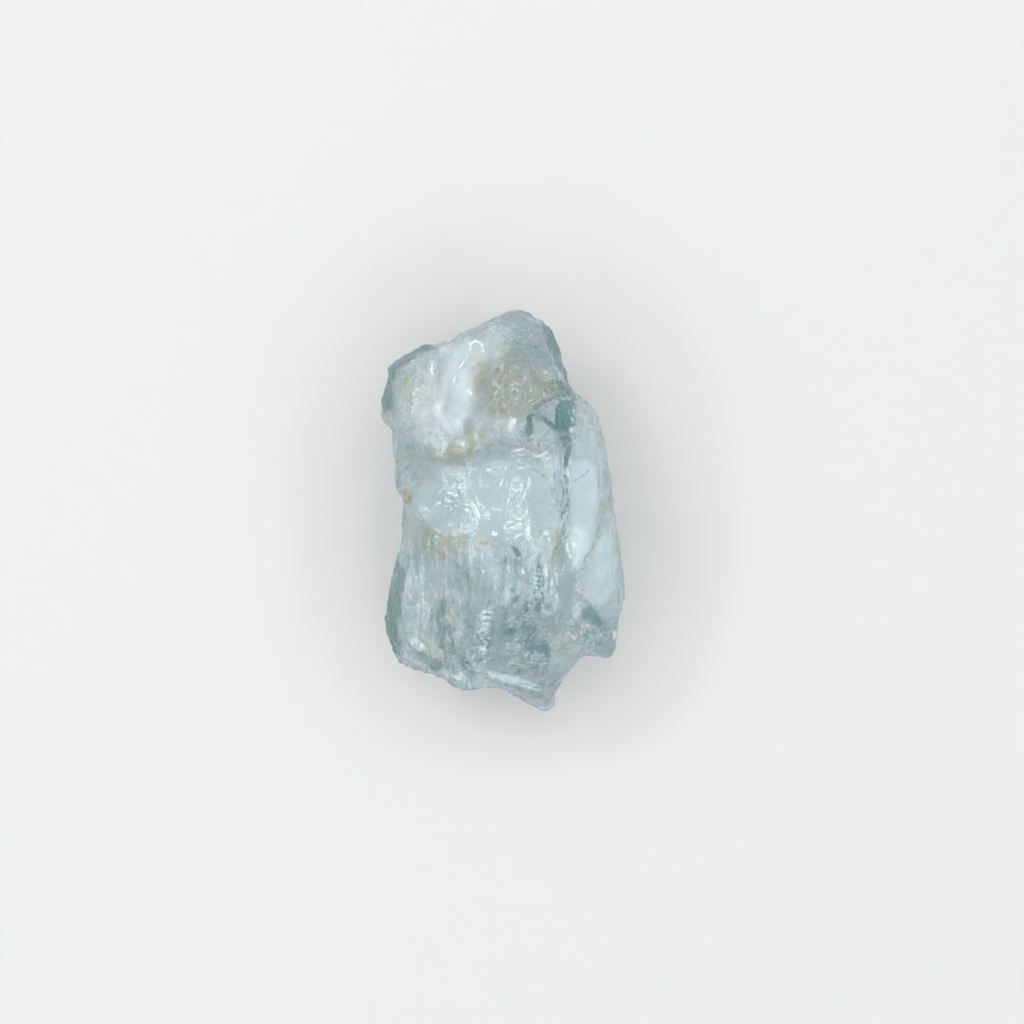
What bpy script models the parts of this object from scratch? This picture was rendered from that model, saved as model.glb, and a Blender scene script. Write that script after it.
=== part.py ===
"""A rough, broken piece of aquamarine crystal, lying on its one flat parting face.

The piece is one solid. Its outline, its ridges and its hollows are drawn as lines in space, the
smooth fracture surfaces are stretched between them, and the finer breaks are then worked into
those surfaces. Lengths are in millimetres and become metres at the end.

+Z is up, the crystal's long axis runs along Y, and the origin is under the middle of its box.
"""

import math
from collections import namedtuple

import bmesh
import bpy
import numpy as np
from mathutils import Matrix, Vector, noise
from mathutils.geometry import delaunay_2d_cdt

MM = 0.001

# How finely the fracture surfaces are drawn, and how many of their triangles are kept.
SURFACE_LEVELS = 2
KEPT_SHARE = 0.80

# The relief worked into the surfaces: how far it moves them, and the size of its waves.
WANDER, WANDER_SIZE = 0.18, 1.7  # ridges wander off their drawn lines
LUMPS, LUMP_SIZE = 0.16, 2.4
UNDER_LUMPS = 0.34  # the same waves, higher on the underside
BUMPS, BUMP_SIZE = 0.07, 0.9
STREAKS, STREAK_SIZE = 0.14, (0.55, 4.0)  # along Y, over the lower part of the upper side
STREAKS_FROM, STREAKS_FADE = -1.5, 2.0  # the Y at which they start, and where they are full
RIM_DEPTH = 1.3  # the outline keeps its place, and the relief grows to full over this height
REST_DEPTH = 0.8  # the same above the parting face

# The rim rises and falls along the outline, in long waves and in short ones.
RIM_WAVE, RIM_WAVE_SIZE = 1.3, 4.5
RIM_STEP, RIM_STEP_SIZE = 0.55, 1.4

# The look of the beryl, and the bend beyond which an edge is drawn sharp.
BERYL_COLOUR = (0.50, 0.62, 0.65, 1)
BERYL_ROUGHNESS = 0.12
BERYL_IOR = 1.58
SHARP_ANGLE = math.radians(25)

# A line of the cage, with how sharp it stands: 1 is an edge, and 0 only a place on a surface.
Line = namedtuple("Line", "name sharpness points")

# The greatest outline, seen from above, clockwise from the top.
OUTLINE = (
    (0.60, 10.25), (1.35, 10.07), (1.85, 9.70), (2.25, 9.30), (2.65, 8.70), (2.95, 8.05),
    (3.15, 7.30), (3.50, 6.15), (3.85, 5.80), (4.35, 5.45), (4.70, 4.95), (4.95, 4.30),
    (5.30, 2.55), (5.52, 0.95), (5.58, 0.30), (5.80, -0.95), (5.95, -2.45), (6.10, -4.20),
    (6.00, -4.95), (5.65, -6.45), (5.40, -7.35), (4.35, -7.35), (3.85, -7.50), (3.25, -8.35),
    (2.80, -9.05), (2.75, -9.55), (2.60, -10.00), (1.85, -10.10), (1.45, -9.90), (0.35, -9.30),
    (-0.75, -8.95), (-1.75, -9.05), (-2.30, -8.90), (-3.30, -8.30),
    (-3.90, -8.15), (-5.05, -7.80), (-5.55, -6.95), (-5.95, -5.75), (-5.90, -5.05),
    (-5.65, -3.70), (-5.55, -3.05), (-5.20, -1.70), (-5.05, -0.20),
    (-5.05, 0.55), (-5.30, 0.90), (-5.50, 1.45), (-5.40, 2.30), (-5.60, 3.30), (-5.60, 3.95),
    (-5.90, 4.30), (-6.15, 4.65), (-6.15, 5.15), (-6.10, 5.70), (-5.85, 6.55), (-5.80, 7.05),
    (-5.55, 7.40), (-5.15, 7.70), (-4.65, 8.00), (-4.15, 8.30), (-3.40, 8.45), (-2.65, 8.60),
    (-1.65, 9.15), (-0.85, 9.60), (-0.15, 10.05),
)

# Height and sharpness of that outline at places along Y, from the bottom lip to the worn top.
GIRDLE_Y = (-10, -7, 0, 6, 10)
GIRDLE_HEIGHT = (3.5, 4.2, 4.7, 4.9, 4.7)
GIRDLE_SHARPNESS = (0.9, 0.8, 0.6, 0.3, 0.2)

# The upper side.
FRONT = (
    Line("crown", 0.7, ((0.5, 9.3, 7.0), (0.35, 8.05, 8.5), (0.1, 6.3, 9.2), (-0.1, 4.95, 9.4),
                        (-0.3, 3.6, 8.9))),
    Line("dome_left", 0.6, ((-2.55, 8.15, 6.3), (-2.3, 7.4, 7.2), (-2.1, 6.3, 8.0),
                            (-2.2, 5.05, 8.2), (-2.4, 2.65, 7.8))),
    Line("valley", 0.2, ((-3.2, 7.9, 6.1), (-3.3, 6.55, 6.8), (-3.4, 5.05, 7.2))),
    Line("knob", 0.4, ((-4.05, 7.6, 6.5), (-4.4, 6.3, 7.3), (-4.6, 5.05, 7.5), (-4.2, 3.9, 7.4))),
    Line("knob_rim", 0.5, ((-5.2, 7.2, 5.9), (-5.55, 5.9, 6.2), (-5.45, 4.6, 6.3),
                           (-5.1, 3.6, 6.4))),
    Line("dome_right", 0.9, ((2.0, 9.2, 6.4), (2.25, 8.05, 7.6), (2.65, 6.8, 8.0),
                             (3.05, 5.95, 8.0))),
    Line("dome_steps", 0.5, ((-1.2, 8.8, 6.8), (-0.9, 7.2, 8.5), (-1.0, 5.4, 9.0))),
    Line("stain_edge", 0.8, ((0.1, 6.3, 9.2), (1.3, 6.7, 8.6), (2.1, 6.3, 8.2), (3.05, 5.95, 8.0))),
    Line("notch_left", 1.0, ((3.05, 5.95, 8.0), (2.2, 5.35, 8.8), (1.3, 4.75, 9.2),
                             (1.2, 3.9, 9.0), (1.7, 3.4, 8.9))),
    Line("notch_right", 0.9, ((3.05, 5.95, 8.0), (3.4, 5.4, 7.9), (3.45, 4.5, 8.5),
                              (3.15, 3.6, 8.7), (2.75, 3.2, 8.8))),
    Line("notch_floor", 0.8, ((2.65, 5.2, 7.7), (2.85, 4.3, 7.2), (2.7, 3.75, 7.6))),
    # The upper lobe ends in a ledge above the scooped middle.
    Line("ledge_brink", 0.8, ((-5.2, 2.6, 5.9), (-3.9, 2.7, 6.9), (-2.4, 2.65, 7.8),
                              (-1.65, 2.5, 8.0), (-1.15, 3.05, 8.4), (-0.3, 3.6, 8.9),
                              (1.7, 3.4, 8.9), (2.75, 3.2, 8.8))),
    Line("ledge_foot", 0.6, ((-5.05, 2.2, 5.6), (-3.9, 2.3, 6.5), (-2.4, 2.15, 7.3),
                             (-1.6, 2.0, 7.5), (-0.75, 2.2, 7.6), (0.4, 2.3, 7.7),
                             (1.4, 2.2, 7.9), (2.2, 2.0, 8.3))),
    Line("left_shell", 0.0, ((-4.2, 1.3, 6.1), (-3.3, 0.6, 6.6), (-2.5, 1.1, 7.1))),
    Line("left_shell_foot", 0.0, ((-3.6, -0.1, 6.5), (-2.6, -0.3, 7.1))),
    Line("left_rim", 0.5, ((-4.75, 1.3, 5.8), (-4.6, 0.4, 5.9), (-4.5, -0.1, 6.2))),
    Line("between_shells", 0.8, ((-1.6, 2.0, 7.5), (-1.9, 0.8, 7.6), (-1.75, -0.4, 7.7),
                                 (-1.3, -1.35, 8.0))),
    Line("middle_shell", 0.0, ((-0.7, 1.0, 7.3), (0.6, 0.8, 7.3), (0.4, -0.5, 7.5),
                               (-0.7, -0.5, 7.5))),
    Line("step_inner", 0.9, ((2.0, 1.2, 8.2), (1.9, 0.0, 8.2), (1.75, -1.3, 8.2),
                             (1.35, -2.5, 8.4))),
    Line("step_foot", 0.6, ((1.5, 1.0, 7.7), (1.4, -0.2, 7.7), (1.1, -1.3, 7.9))),
    Line("crack_ridge", 0.9, ((-4.5, -0.1, 6.2), (-3.9, -0.6, 6.9), (-3.2, -1.1, 7.5),
                              (-2.3, -1.3, 7.8), (-1.3, -1.35, 8.0), (-0.4, -1.7, 8.2),
                              (0.4, -1.9, 8.3), (1.35, -2.5, 8.4), (2.25, -3.2, 8.2))),
    Line("spine", 1.0, ((2.75, 3.2, 8.8), (2.9, 1.9, 9.0), (3.0, 0.5, 9.0), (2.85, -0.7, 8.9),
                        (2.55, -1.9, 8.6), (2.25, -3.2, 8.2), (1.9, -4.7, 7.8))),
    Line("pane_left", 0.7, ((3.15, 3.6, 8.7), (3.45, 1.8, 8.5), (3.5, 0.5, 8.3), (3.25, -1.0, 8.1),
                            (3.0, -2.2, 7.8), (3.6, -2.9, 7.5))),
    Line("pane_right", 0.9, ((4.1, 5.0, 7.0), (4.5, 3.5, 7.3), (4.75, 1.6, 7.3), (4.7, 0.3, 7.2),
                             (4.45, -1.45, 7.2), (4.1, -2.35, 7.3), (3.6, -2.9, 7.5))),
    Line("right_step", 0.9, ((4.35, -2.7, 7.0), (4.05, -4.05, 7.1), (4.5, -4.7, 6.6),
                             (4.85, -5.7, 5.9), (4.1, -5.8, 6.1), (3.3, -4.8, 6.9),
                             (4.05, -4.05, 7.1))),
    Line("right_band", 0.5, ((5.15, 0.0, 5.9), (5.35, -2.0, 6.1), (5.5, -4.2, 5.9))),
    Line("foot_block", 0.8, ((3.3, -4.8, 6.9), (3.0, -6.0, 6.8), (3.5, -6.8, 5.9),
                             (4.6, -6.7, 5.6))),
    Line("left_edge", 0.8, ((-4.5, -0.1, 6.2), (-4.65, -1.5, 6.2), (-4.85, -3.0, 6.1),
                            (-5.05, -4.6, 5.8), (-5.0, -6.1, 5.5), (-4.5, -7.0, 5.2))),
    Line("streak_upper", 0.3, ((-3.7, -2.4, 6.5), (-3.7, -4.2, 6.2), (-3.8, -5.7, 5.6))),
    Line("diagonal", 0.9, ((-2.9, -2.2, 7.5), (-2.0, -3.1, 7.7), (-1.1, -3.9, 7.8),
                           (-0.2, -4.5, 7.8))),
    Line("diagonal_foot", 0.4, ((-1.9, -4.2, 6.9), (-1.7, -6.0, 6.2))),
    Line("column", 0.8, ((-2.9, -3.6, 7.1), (-2.6, -5.2, 6.8), (-2.7, -6.9, 6.1))),
    Line("sparkle_step", 0.9, ((-0.2, -4.5, 7.8), (-0.9, -5.2, 7.4), (-1.1, -6.3, 6.8),
                               (-1.2, -7.5, 6.0))),
    Line("teal_hollow", 0.1, ((-0.2, -6.4, 6.0), (0.8, -6.0, 6.3), (0.9, -7.5, 5.5))),
    Line("lower_brow", 0.8, ((-0.2, -4.5, 7.8), (0.7, -5.0, 7.6), (1.9, -4.7, 7.8),
                             (2.1, -6.1, 7.1), (2.3, -7.5, 6.2), (2.4, -8.8, 4.9))),
    Line("streak_middle", 0.5, ((-0.3, -2.8, 8.0), (0.8, -3.6, 7.9))),
    Line("tip", 0.0, ((2.2, -9.6, 4.2),)),
    Line("lip", 1.0, ((-4.5, -7.0, 5.2), (-3.2, -7.4, 5.4), (-2.0, -7.8, 5.5), (-0.7, -8.0, 5.3),
                      (1.2, -8.45, 5.0), (2.4, -8.8, 4.9))),
)

# The underside: the flat parting face in its middle, a belt of breaks round that, and steep walls
# between the belt and the outline.
BACK = (
    Line("rest", 1.0, ((-2.3, 3.4, 0), (0.3, 4.1, 0), (2.0, 2.9, 0), (2.5, -0.3, 0),
                       (1.7, -2.9, 0), (-0.6, -3.7, 0), (-2.4, -2.2, 0), (-2.9, 0.6, 0),
                       (-2.3, 3.4, 0))),
    Line("rest_middle", 0.0, ((-0.2, 1.6, 0), (-0.2, -1.2, 0))),
    Line("under_wall", 0.7, ((0.9, 9.1, 3.2), (2.0, 8.1, 2.0), (2.3, 6.9, 2.5), (2.9, 5.6, 1.9),
                             (3.9, 4.6, 2.8), (4.6, 3.2, 1.8), (4.9, 1.0, 2.6), (5.0, -0.9, 1.7),
                             (5.1, -2.4, 2.6), (5.5, -4.3, 1.9), (4.9, -6.5, 2.9),
                             (3.7, -6.6, 3.0), (2.7, -7.9, 2.2), (1.9, -9.2, 2.6),
                             (0.4, -8.4, 2.0), (-2.2, -8.0, 2.8), (-3.5, -7.4, 2.2),
                             (-4.7, -7.0, 2.4), (-5.1, -6.0, 3.0), (-5.1, -4.4, 1.9),
                             (-5.0, -2.8, 2.7), (-4.4, -1.2, 1.7), (-4.5, 0.4, 2.6),
                             (-4.7, 1.6, 1.9), (-4.8, 3.1, 2.9), (-5.4, 4.6, 2.0),
                             (-5.3, 6.2, 3.1), (-4.5, 7.3, 2.2), (-2.7, 7.9, 3.0),
                             (-1.0, 8.6, 2.1), (0.9, 9.1, 3.2))),
    Line("under_crown", 0.9, ((0.3, 4.1, 0), (1.4, 6.4, 0.9), (0.9, 9.1, 3.2))),
    Line("under_knob", 0.8, ((-2.3, 3.4, 0), (-3.6, 4.9, 1.1), (-5.3, 6.2, 3.1))),
    Line("under_dome", 0.8, ((-3.6, 4.9, 1.1), (-0.9, 6.0, 0.6), (1.4, 6.4, 0.9))),
    Line("under_valley", 0.6, ((-0.9, 6.0, 0.6), (-2.7, 7.9, 3.0))),
    Line("under_shoulder", 0.9, ((2.0, 2.9, 0), (3.0, 4.0, 1.0), (3.9, 4.6, 2.8))),
    Line("under_belt_right", 0.8, ((3.0, 4.0, 1.0), (3.7, 1.6, 0.6), (3.9, -1.8, 1.0),
                                   (3.3, -4.6, 0.7))),
    Line("under_side", 0.5, ((2.5, -0.3, 0), (3.9, -1.8, 1.0), (5.1, -2.4, 2.6))),
    Line("under_right_edge", 0.9, ((1.7, -2.9, 0), (3.3, -4.6, 0.7), (4.9, -6.5, 2.9))),
    Line("under_foot", 0.9, ((-0.6, -3.7, 0), (1.1, -6.0, 0.5), (1.9, -9.2, 2.6))),
    Line("under_lip", 0.6, ((-0.6, -3.7, 0), (-1.8, -6.0, 1.1), (-2.2, -8.0, 2.8))),
    Line("under_corner", 0.9, ((-2.4, -2.2, 0), (-3.7, -4.4, 0.7), (-5.1, -6.0, 3.0))),
    Line("under_belt_foot", 0.7, ((-3.7, -4.4, 0.7), (-1.8, -6.0, 1.1), (1.1, -6.0, 0.5),
                                  (3.3, -4.6, 0.7))),
    Line("under_left", 0.7, ((-2.9, 0.6, 0), (-4.0, -1.4, 0.9), (-5.0, -2.8, 2.7))),
    Line("under_waist", 0.8, ((-2.9, 0.6, 0), (-3.9, 1.9, 0.7), (-4.8, 3.1, 2.9))),
    Line("under_belt_left", 0.6, ((-3.6, 4.9, 1.1), (-3.9, 1.9, 0.7), (-4.0, -1.4, 0.9),
                                  (-3.7, -4.4, 0.7))),
)


def girdle(values, y):
    return float(np.interp(y, GIRDLE_Y, values))


def rim_height(x, y):
    place = Vector((x, y, 0))
    wave = RIM_WAVE * noise.noise(place / RIM_WAVE_SIZE)
    return girdle(GIRDLE_HEIGHT, y) + wave + RIM_STEP * noise.noise(place / RIM_STEP_SIZE)


def rim():
    """The outline's corners, moved out so that the smoothed surface passes through them."""
    corners = [Vector((x, y, rim_height(x, y))) for x, y in OUTLINE]
    around = len(corners)
    moved = []
    for i, corner in enumerate(corners):
        between = (corners[i - 1] + corners[(i + 1) % around]) / 2
        moved.append(corner + (corner - between) / 2)
    return moved


def surface(lines):
    """Triangles stretched over the outline and lines: their corners, faces and sharp edges."""
    corners = rim()
    around = len(corners)
    edges = [(i, (i + 1) % around) for i in range(around)]
    sharpness = [girdle(GIRDLE_SHARPNESS, corners[i].y) for i in range(around)]
    for line in lines:
        for step, point in enumerate(line.points):
            if step:
                edges.append((len(corners) - 1, len(corners)))
                sharpness.append(line.sharpness)
            corners.append(Vector(point))
    flat = [corner.to_2d() for corner in corners]
    drawn = delaunay_2d_cdt(flat, edges, [], 1, 1e-4)
    places, stretched, faces, from_corner, from_edge = drawn[:5]
    strays = [tuple(place) for place, came in zip(places, from_corner) if not came]
    if strays:
        raise ValueError(f"lines cross at {strays}")
    points = [corners[came[0]] for came in from_corner]
    on_outline = [min(came) if min(came) < around else None for came in from_corner]
    creases = {}
    for edge, came in zip(stretched, from_edge):
        if came:
            creases[frozenset(edge)] = max(sharpness[i] for i in came)
    return points, faces, creases, on_outline


def cage():
    """The closed cage: the upper side and the underside, joined along the outline."""
    mesh = bmesh.new()
    crease = mesh.edges.layers.float.new("crease_edge")
    shared = {}
    for lines, is_front in ((FRONT, True), (BACK, False)):
        points, faces, creases, on_outline = surface(lines)
        corners = []
        for point, place in zip(points, on_outline):
            if place is not None and place in shared:
                corners.append(shared[place])
                continue
            corner = mesh.verts.new(point)
            corners.append(corner)
            if place is not None:
                shared[place] = corner
        for face in faces:
            order = face if is_front else reversed(face)
            mesh.faces.new([corners[i] for i in order])
        for pair, sharp in creases.items():
            edge = mesh.edges.get([corners[i] for i in pair])
            edge[crease] = max(edge[crease], sharp)
    return mesh


def rise(value, full):
    """0 at 0 and 1 from full on, with a smooth start and end."""
    share = min(1.0, max(0.0, value / full))
    return share * share * (3 - 2 * share)


def relief(place, normal):
    """How far the surface at a place moves, as a vector in millimetres."""
    from_rim = abs(place.z - rim_height(place.x, place.y))
    free = rise(from_rim, RIM_DEPTH) * rise(place.z, REST_DEPTH)
    wander = noise.noise_vector(place / WANDER_SIZE) * WANDER
    height = UNDER_LUMPS + (LUMPS - UNDER_LUMPS) * rise(normal.z + 0.5, 1.0)
    lumps = height * noise.noise(place / LUMP_SIZE) + BUMPS * noise.noise(place / BUMP_SIZE)
    across, along = STREAK_SIZE
    streak = noise.noise(Vector((place.x / across, place.y / along, place.z / along)))
    streaked = rise(STREAKS_FROM - place.y, STREAKS_FADE) * max(0.0, normal.z)
    return free * (wander + (lumps + STREAKS * streaked * streak) * normal)


def work_relief(data):
    moves = [relief(vertex.co / MM, vertex.normal) for vertex in data.vertices]
    for vertex, move in zip(data.vertices, moves):
        vertex.co += move * MM


def new_object(name, mesh):
    data = bpy.data.meshes.new(name)
    mesh.to_mesh(data)
    mesh.free()
    thing = bpy.data.objects.new(name, data)
    bpy.context.scene.collection.objects.link(thing)
    return thing


def apply_modifiers(thing):
    graph = bpy.context.evaluated_depsgraph_get()
    data = bpy.data.meshes.new_from_object(thing.evaluated_get(graph))
    thing.modifiers.clear()
    thing.data = data


def centre(data):
    """Puts the middle of the box over the origin."""
    corners = np.array([vertex.co for vertex in data.vertices])
    middle = (corners.min(axis=0) + corners.max(axis=0)) / 2
    data.transform(Matrix.Translation((-middle[0], -middle[1], 0)))


def aquamarine():
    material = bpy.data.materials.new("aquamarine")
    material.use_nodes = True
    shader = material.node_tree.nodes["Principled BSDF"]
    shader.inputs["Base Color"].default_value = BERYL_COLOUR
    shader.inputs["Metallic"].default_value = 0
    shader.inputs["Roughness"].default_value = BERYL_ROUGHNESS
    shader.inputs["IOR"].default_value = BERYL_IOR
    shader.inputs["Transmission Weight"].default_value = 1
    return material


def main():
    for thing in list(bpy.data.objects):
        bpy.data.objects.remove(thing)
    mesh = cage()
    mesh.transform(Matrix.Scale(MM, 4))
    crystal = new_object("crystal", mesh)

    smooth = crystal.modifiers.new("fracture surfaces", "SUBSURF")
    smooth.levels = smooth.render_levels = SURFACE_LEVELS
    apply_modifiers(crystal)
    work_relief(crystal.data)

    fewer = crystal.modifiers.new("kept triangles", "DECIMATE")
    fewer.ratio = KEPT_SHARE
    apply_modifiers(crystal)
    centre(crystal.data)

    crystal.data.shade_smooth()
    crystal.data.set_sharp_from_angle(angle=SHARP_ANGLE)
    crystal.data.materials.append(aquamarine())


main()
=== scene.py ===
# %% [markdown]
# # A piece of rough aquamarine
#
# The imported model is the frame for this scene: one solid in its real size, lying on its flat
# parting face. This notebook gives it the fine relief, the clear blue body and the light that the
# solid can't have. Lengths are in millimetres until they meet Blender, which works in metres, so MM
# turns one into the other.

# %% The frame and its box
import math

import bmesh
import bpy
import numpy as np
from mathutils import Matrix, Vector, noise
from mathutils.bvhtree import BVHTree


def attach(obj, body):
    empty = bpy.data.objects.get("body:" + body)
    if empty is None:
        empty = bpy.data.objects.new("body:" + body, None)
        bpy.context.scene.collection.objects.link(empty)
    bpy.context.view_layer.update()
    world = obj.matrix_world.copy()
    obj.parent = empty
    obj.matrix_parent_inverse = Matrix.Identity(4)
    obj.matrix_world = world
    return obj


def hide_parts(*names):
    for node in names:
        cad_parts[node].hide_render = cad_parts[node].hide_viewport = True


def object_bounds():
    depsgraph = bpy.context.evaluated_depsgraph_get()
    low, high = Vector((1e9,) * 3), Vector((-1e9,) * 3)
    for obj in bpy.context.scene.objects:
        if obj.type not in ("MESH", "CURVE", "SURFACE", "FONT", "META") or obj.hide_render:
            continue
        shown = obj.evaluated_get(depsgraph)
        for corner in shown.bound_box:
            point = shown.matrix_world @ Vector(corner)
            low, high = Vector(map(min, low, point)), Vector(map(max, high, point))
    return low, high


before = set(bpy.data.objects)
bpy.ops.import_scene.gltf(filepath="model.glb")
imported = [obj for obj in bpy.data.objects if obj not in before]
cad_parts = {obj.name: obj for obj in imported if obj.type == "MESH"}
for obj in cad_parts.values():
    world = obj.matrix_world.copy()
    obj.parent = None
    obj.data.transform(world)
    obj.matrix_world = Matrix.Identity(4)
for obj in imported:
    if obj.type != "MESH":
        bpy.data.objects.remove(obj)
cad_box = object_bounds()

MM = 0.001
low, high = (Vector(corner) / MM for corner in cad_box)
print("stone, mm:", [round(side, 2) for side in high - low])


def put(name, data):
    """A new object with some data, in the scene."""
    made = bpy.data.objects.new(name, data)
    bpy.context.scene.collection.objects.link(made)
    return made


# %% [markdown]
# ## The camera
#
# A thing seen straight from above keeps its outline if the camera stands well back. A 100 mm lens
# on a 36 mm sensor sees 0.36 mm for each millimetre of distance, so the distance follows from how
# wide the view is to be at the stone's widest level.

# %% A camera that looks straight down
VIEW_WIDTH = 51.2
VIEW_MIDDLE = (0.45, -0.05)  # the stone lies a little to the left of the middle
WIDEST_LEVEL = 4.6
LENS = 100.0
SENSOR = 36.0
NEAREST = 10.0  # nothing closer to the lens than this is drawn

camera_data = bpy.data.cameras.new("camera")
camera_data.lens = LENS
camera_data.sensor_width = SENSOR
camera_data.clip_start = NEAREST * MM
camera = put("camera", camera_data)
distance = VIEW_WIDTH * LENS / SENSOR
camera.location = Vector((*VIEW_MIDDLE, WIDEST_LEVEL + distance)) * MM
bpy.context.scene.camera = camera
print("camera height, mm:", round(WIDEST_LEVEL + distance, 1))

# %% [markdown]
# ## Shader maths in Python
#
# A material is a graph of nodes, and maths in it soon fills a page. The small class below wraps one
# output socket, so that an expression such as 1 - mask * 0.5 adds its own Math nodes. Colours go
# through Mix nodes, because a Math node would turn them grey.


# %% One class that wraps a socket
def operator(operation):
    """The two methods of one of Python's operators, for a Wave on its left and on its right."""
    return (
        lambda left, right: left.math(operation, left, right),
        lambda right, left: right.math(operation, left, right),
    )


class Wave:
    """An output socket that Python's operators can work on."""

    def __init__(self, tree, socket):
        self.tree = tree
        self.socket = socket

    def node(self, kind, settings=None, outlet=0, **inlets):
        """Adds a shader node, sets it up, joins its inlets by name or number, wraps an outlet."""
        made = self.tree.nodes.new("ShaderNode" + kind)
        for name, value in (settings or {}).items():
            setattr(made, name, value)
        for name, value in inlets.items():
            key = int(name[1:]) if name[0] == "_" else name.replace("_", " ")
            self.join(made.inputs[key], value)
        return Wave(self.tree, made.outputs[outlet] if made.outputs else None)

    def join(self, inlet, value):
        """Links a wrapped socket to an inlet, or sets the inlet to a plain value."""
        if isinstance(value, Wave):
            self.tree.links.new(value.socket, inlet)
        else:
            inlet.default_value = value

    def math(self, operation, *values):
        """A Math node on some values."""
        numbered = {f"_{i}": value for i, value in enumerate(values)}
        return self.node("Math", {"operation": operation}, **numbered)

    __add__, __radd__ = operator("ADD")
    __sub__, __rsub__ = operator("SUBTRACT")
    __mul__, __rmul__ = operator("MULTIPLY")

    def mix(self, first, second):
        """A colour between two, led by this value."""
        settings = {"data_type": "RGBA"}
        return self.node("Mix", settings, outlet=2, _0=self, _6=first, _7=second)

    def steps(self, *stops):
        """This value sent through a ramp of stops, each a place and a grey or a colour."""
        made = self.node("ValToRGB", _0=self)
        elements = made.socket.node.color_ramp.elements
        while len(elements) < len(stops):
            elements.new(1)
        for element, (place, grey) in zip(elements, stops):
            element.position = place
            element.color = grey if isinstance(grey, tuple) else (grey, grey, grey, 1)
        return made


def blank_tree(owner):
    """An empty node tree for a world or a material, wrapped so that nodes can be added."""
    owner.use_nodes = True
    owner.node_tree.nodes.clear()
    return Wave(owner.node_tree, None)


# %% [markdown]
# ## The studio
#
# A clear stone has little colour of its own: it shows what is around it, bent. So the room is part
# of the finish. Above is a wide pale light tent, which fills the stone. Round the horizon the tent
# is open and darker, and the steep rims pick that up. Two rings of small lamps hang round the
# camera, as on a microscope, so that each ripple mirrors some lamp in a short bright glint. The eye
# sees only the pale backdrop, because the rest is there for light that has met the stone.

# %% A light tent with a dark band and two rings of lamps
BACKDROP = (0.8, 0.82, 0.82, 1)
TENT = (0.97, 0.99, 1.0, 1)
BAND = (0.1, 0.16, 0.17, 1)
BAND_END, TENT_START = 0.2, 0.58  # as heights on the dome, where 1 is straight up
TENT_STRENGTH = 0.85
RINGS = ((25.0, 1.6, 10.0), (48.0, 1.8, 12.0))  # degrees from straight up, half width, strength
LAMPS_PER_RING = 14
LAMP_SHARE = 0.1  # the cosine above which a lamp is lit, so the lamps fill almost half the ring

world = bpy.data.worlds.new("studio")
bpy.context.scene.world = world
sky = blank_tree(world)
direction = sky.node("TexCoord")
east, north, up = (sky.node("SeparateXYZ", outlet=axis, _0=direction) for axis in range(3))
tent = up.steps((0.0, BAND), (BAND_END, BAND), (TENT_START, TENT), (1.0, TENT))
tilt = up.math("ARCCOSINE", up)
turns = north.math("ARCTAN2", north, east) * LAMPS_PER_RING
lit = turns.math("GREATER_THAN", turns.math("COSINE", turns), LAMP_SHARE)
rings = 0.0
for middle, half, strength in RINGS:
    offset = tilt - math.radians(middle)
    ring = offset.math("LESS_THAN", offset.math("ABSOLUTE", offset), math.radians(half))
    rings = ring * lit * strength + rings
camera_ray = sky.node("LightPath")
seen = camera_ray.mix(tent, BACKDROP)
brightness = camera_ray * (1.0 - TENT_STRENGTH - rings) + TENT_STRENGTH + rings
glow = sky.node("Background", Color=seen, Strength=brightness)
sky.node("OutputWorld", _0=glow)

bpy.context.scene.view_settings.view_transform = "Standard"
print("lamps round the camera:", LAMPS_PER_RING * len(RINGS))

# %% [markdown]
# The floor is a plain pale sheet, large enough to fill the view from any side. It is dull, so that
# it shows the stone's soft shadow and mirrors nothing.

# %% Floor
FLOOR_SIZE = 900.0
FLOOR_GREY = (0.65, 0.64, 0.63, 1)

floor_mesh = bmesh.new()
bmesh.ops.create_grid(floor_mesh, x_segments=1, y_segments=1, size=FLOOR_SIZE * MM / 2)
floor_data = bpy.data.meshes.new("floor")
floor_mesh.to_mesh(floor_data)
floor_mesh.free()
floor = put("floor", floor_data)
floor_finish = bpy.data.materials.new("floor paper")
paper = blank_tree(floor_finish)
sheet = paper.node("BsdfDiffuse", Color=FLOOR_GREY)
paper.node("OutputMaterial", _0=sheet)
floor_data.materials.append(floor_finish)

# %% [markdown]
# One large soft lamp at the upper left gives the form its light side. It is weak, because the tent
# gives most of the light, and large, so that the shadows stay soft.

# %% Lamp
KEY_PLACE = (-140.0, 110.0, 170.0)
KEY_SIZE = 90.0
KEY_POWER = 0.075

key_data = bpy.data.lights.new("key", "AREA")
key_data.shape = "DISK"
key_data.size = KEY_SIZE * MM
key_data.energy = KEY_POWER
key = put("key", key_data)
key.location = Vector(KEY_PLACE) * MM
key.rotation_mode = "QUATERNION"
key.rotation_quaternion = Vector(KEY_PLACE).to_track_quat("Z", "Y")
print("key lamp, mm from the stone:", round(Vector(KEY_PLACE).length))

# %% [markdown]
# ## The stone's surface
#
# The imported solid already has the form: its ledge, hollows, ridges and worn top. A break in beryl
# also has relief too fine for a solid of a few thousand faces. So the solid is copied, its loose
# triangles are merged, and a Subdivision Surface modifier smooths it between creased ridges.

# %% A smoother copy of the solid
MERGE = 0.001  # mm
RIDGE_ANGLE = math.radians(24)
RIDGE_CREASE = 0.9
SMOOTH_LEVELS = 2

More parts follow.
